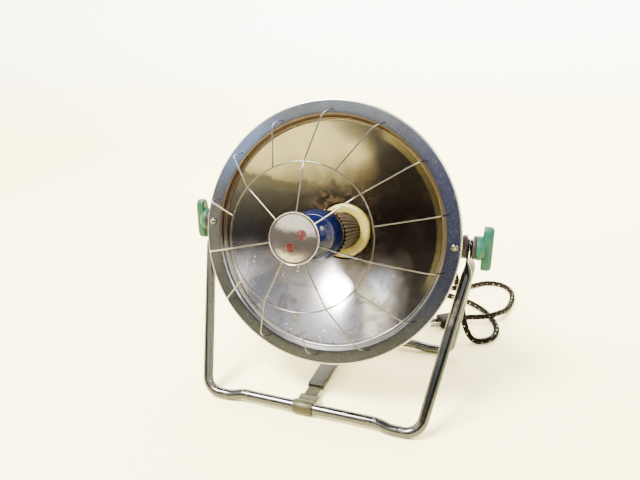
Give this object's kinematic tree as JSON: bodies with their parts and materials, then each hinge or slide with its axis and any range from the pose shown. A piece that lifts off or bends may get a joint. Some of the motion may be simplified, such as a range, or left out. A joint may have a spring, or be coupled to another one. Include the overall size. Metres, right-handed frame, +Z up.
{
  "type": "heat lamp fixture",
  "caption": "Tilting radiant heat lamp: a mirrored dish with a wire guard and blue bulb, on a folding chromed tube stand with clamp knobs and a braided cord.",
  "frame": {"origin": "on the floor, in the middle of the lamp and its stand without the cord", "axes": "+Z up, the lamp looks along -Y and a little upward, +X along the tilt axis towards the side where the cord comes out"},
  "size_m": [0.3992, 0.4907, 0.3436],
  "materials": {
    "chrome": "worn chrome plate",
    "band_chrome": "worn, dulled chrome plate",
    "mirror": "polished reflector",
    "steel": "dull pressed steel",
    "zinc": "zinc plated, yellowed",
    "brass": "dull brass",
    "porcelain": "glazed cream porcelain",
    "sleeve": "woven heatproof sleeve",
    "blue_glass": "dipped blue glass",
    "green_plastic": "moulded, glossy",
    "fibre": "pressed fibre",
    "bakelite": "dark moulded",
    "braid": "braided cloth over rubber",
    "tungsten": "fine wire"
  },
  "bodies": {
    "stand": {"front_frame": "chrome", "inner_washer_left": "fibre", "inner_washer_right": "fibre", "outer_washer_left": "fibre", "outer_washer_right": "fibre", "cord_from_lamp": "braid", "cord_coil": "braid", "cord_to_plug": "braid", "plug_body": "bakelite", "plug_pin_left": "brass", "plug_pin_right": "brass"},
    "lamp_head": {"band_screw_left": "chrome", "band_screw_right": "chrome", "bulb_cap": "brass", "bulb_glass": "blue_glass", "cord_bush": "fibre", "core_live": "braid", "core_neutral": "braid", "cover_screw_lower": "steel", "cover_screw_upper": "steel", "filament": "tungsten", "filament_stem": "porcelain", "front_band": "band_chrome", "guard_disc": "chrome", "guard_long_wire_1": "chrome", "guard_long_wire_2": "chrome", "guard_long_wire_3": "chrome", "guard_long_wire_4": "chrome", "guard_long_wire_5": "chrome", "guard_long_wire_6": "chrome", "guard_long_wire_7": "chrome", "guard_ring": "chrome", "guard_short_wire_1": "chrome", "guard_short_wire_2": "chrome", "guard_short_wire_3": "chrome", "guard_short_wire_4": "chrome", "guard_short_wire_5": "chrome", "guard_short_wire_6": "chrome", "guard_short_wire_7": "chrome", "lampholder_body": "porcelain", "lampholder_centre_contact": "brass", "lampholder_screw_shell": "brass", "neck_sleeve": "sleeve", "pivot_bolt_left": "steel", "pivot_bolt_right": "steel", "pivot_bracket_left": "steel", "pivot_bracket_right": "steel", "porcelain_collar": "porcelain", "rear_cover": "steel", "reflector_bowl": "mirror", "terminal_screw_live": "brass", "terminal_screw_neutral": "brass"},
    "rear_frame": {"rear_frame": "chrome"},
    "spreader_strap": {"spreader_strap": "zinc"},
    "spreader_channel": {"spreader_channel": "steel"},
    "knob_left": {"knob_left": "green_plastic", "knob_insert_left": "brass"},
    "knob_right": {"knob_right": "green_plastic", "knob_insert_right": "brass"}
  },
  "joints": [
    {"name": "head_tilt", "type": "hinge", "parent": "stand", "child": "lamp_head", "pos_m": [0, 0.0134, 0.191], "axis": [1, 0, 0], "range_deg": [-45, 75], "deforming": ["cord_from_lamp"]},
    {"name": "rear_fold", "type": "hinge", "parent": "stand", "child": "rear_frame", "pos_m": [0, 0.0134, 0.191], "axis": [1, 0, 0], "range_deg": [-5, 8]},
    {"name": "strap_hinge", "type": "hinge", "parent": "stand", "child": "spreader_strap", "pos_m": [-0.005, -0.0782, 0.00917], "axis": [1, 0, 0], "range_deg": [-3, 4.5]},
    {"name": "channel_hinge", "type": "hinge", "parent": "rear_frame", "child": "spreader_channel", "pos_m": [-0.005, 0.105, 0.00917], "axis": [1, 0, 0], "range_deg": [-4.5, 3]},
    {"name": "knob_turn_left", "type": "hinge", "parent": "lamp_head", "child": "knob_left", "pos_m": [-0.172, 0.0134, 0.191], "axis": [-1, 0, 0], "range_deg": [0, 450]},
    {"name": "knob_turn_right", "type": "hinge", "parent": "lamp_head", "child": "knob_right", "pos_m": [0.172, 0.0134, 0.191], "axis": [1, 0, 0], "range_deg": [0, 450]}
  ],
  "couplings": [
    {"joint": "strap_hinge", "follows": "rear_fold", "ratio": 0.5},
    {"joint": "channel_hinge", "follows": "rear_fold", "ratio": -0.5}
  ]
}
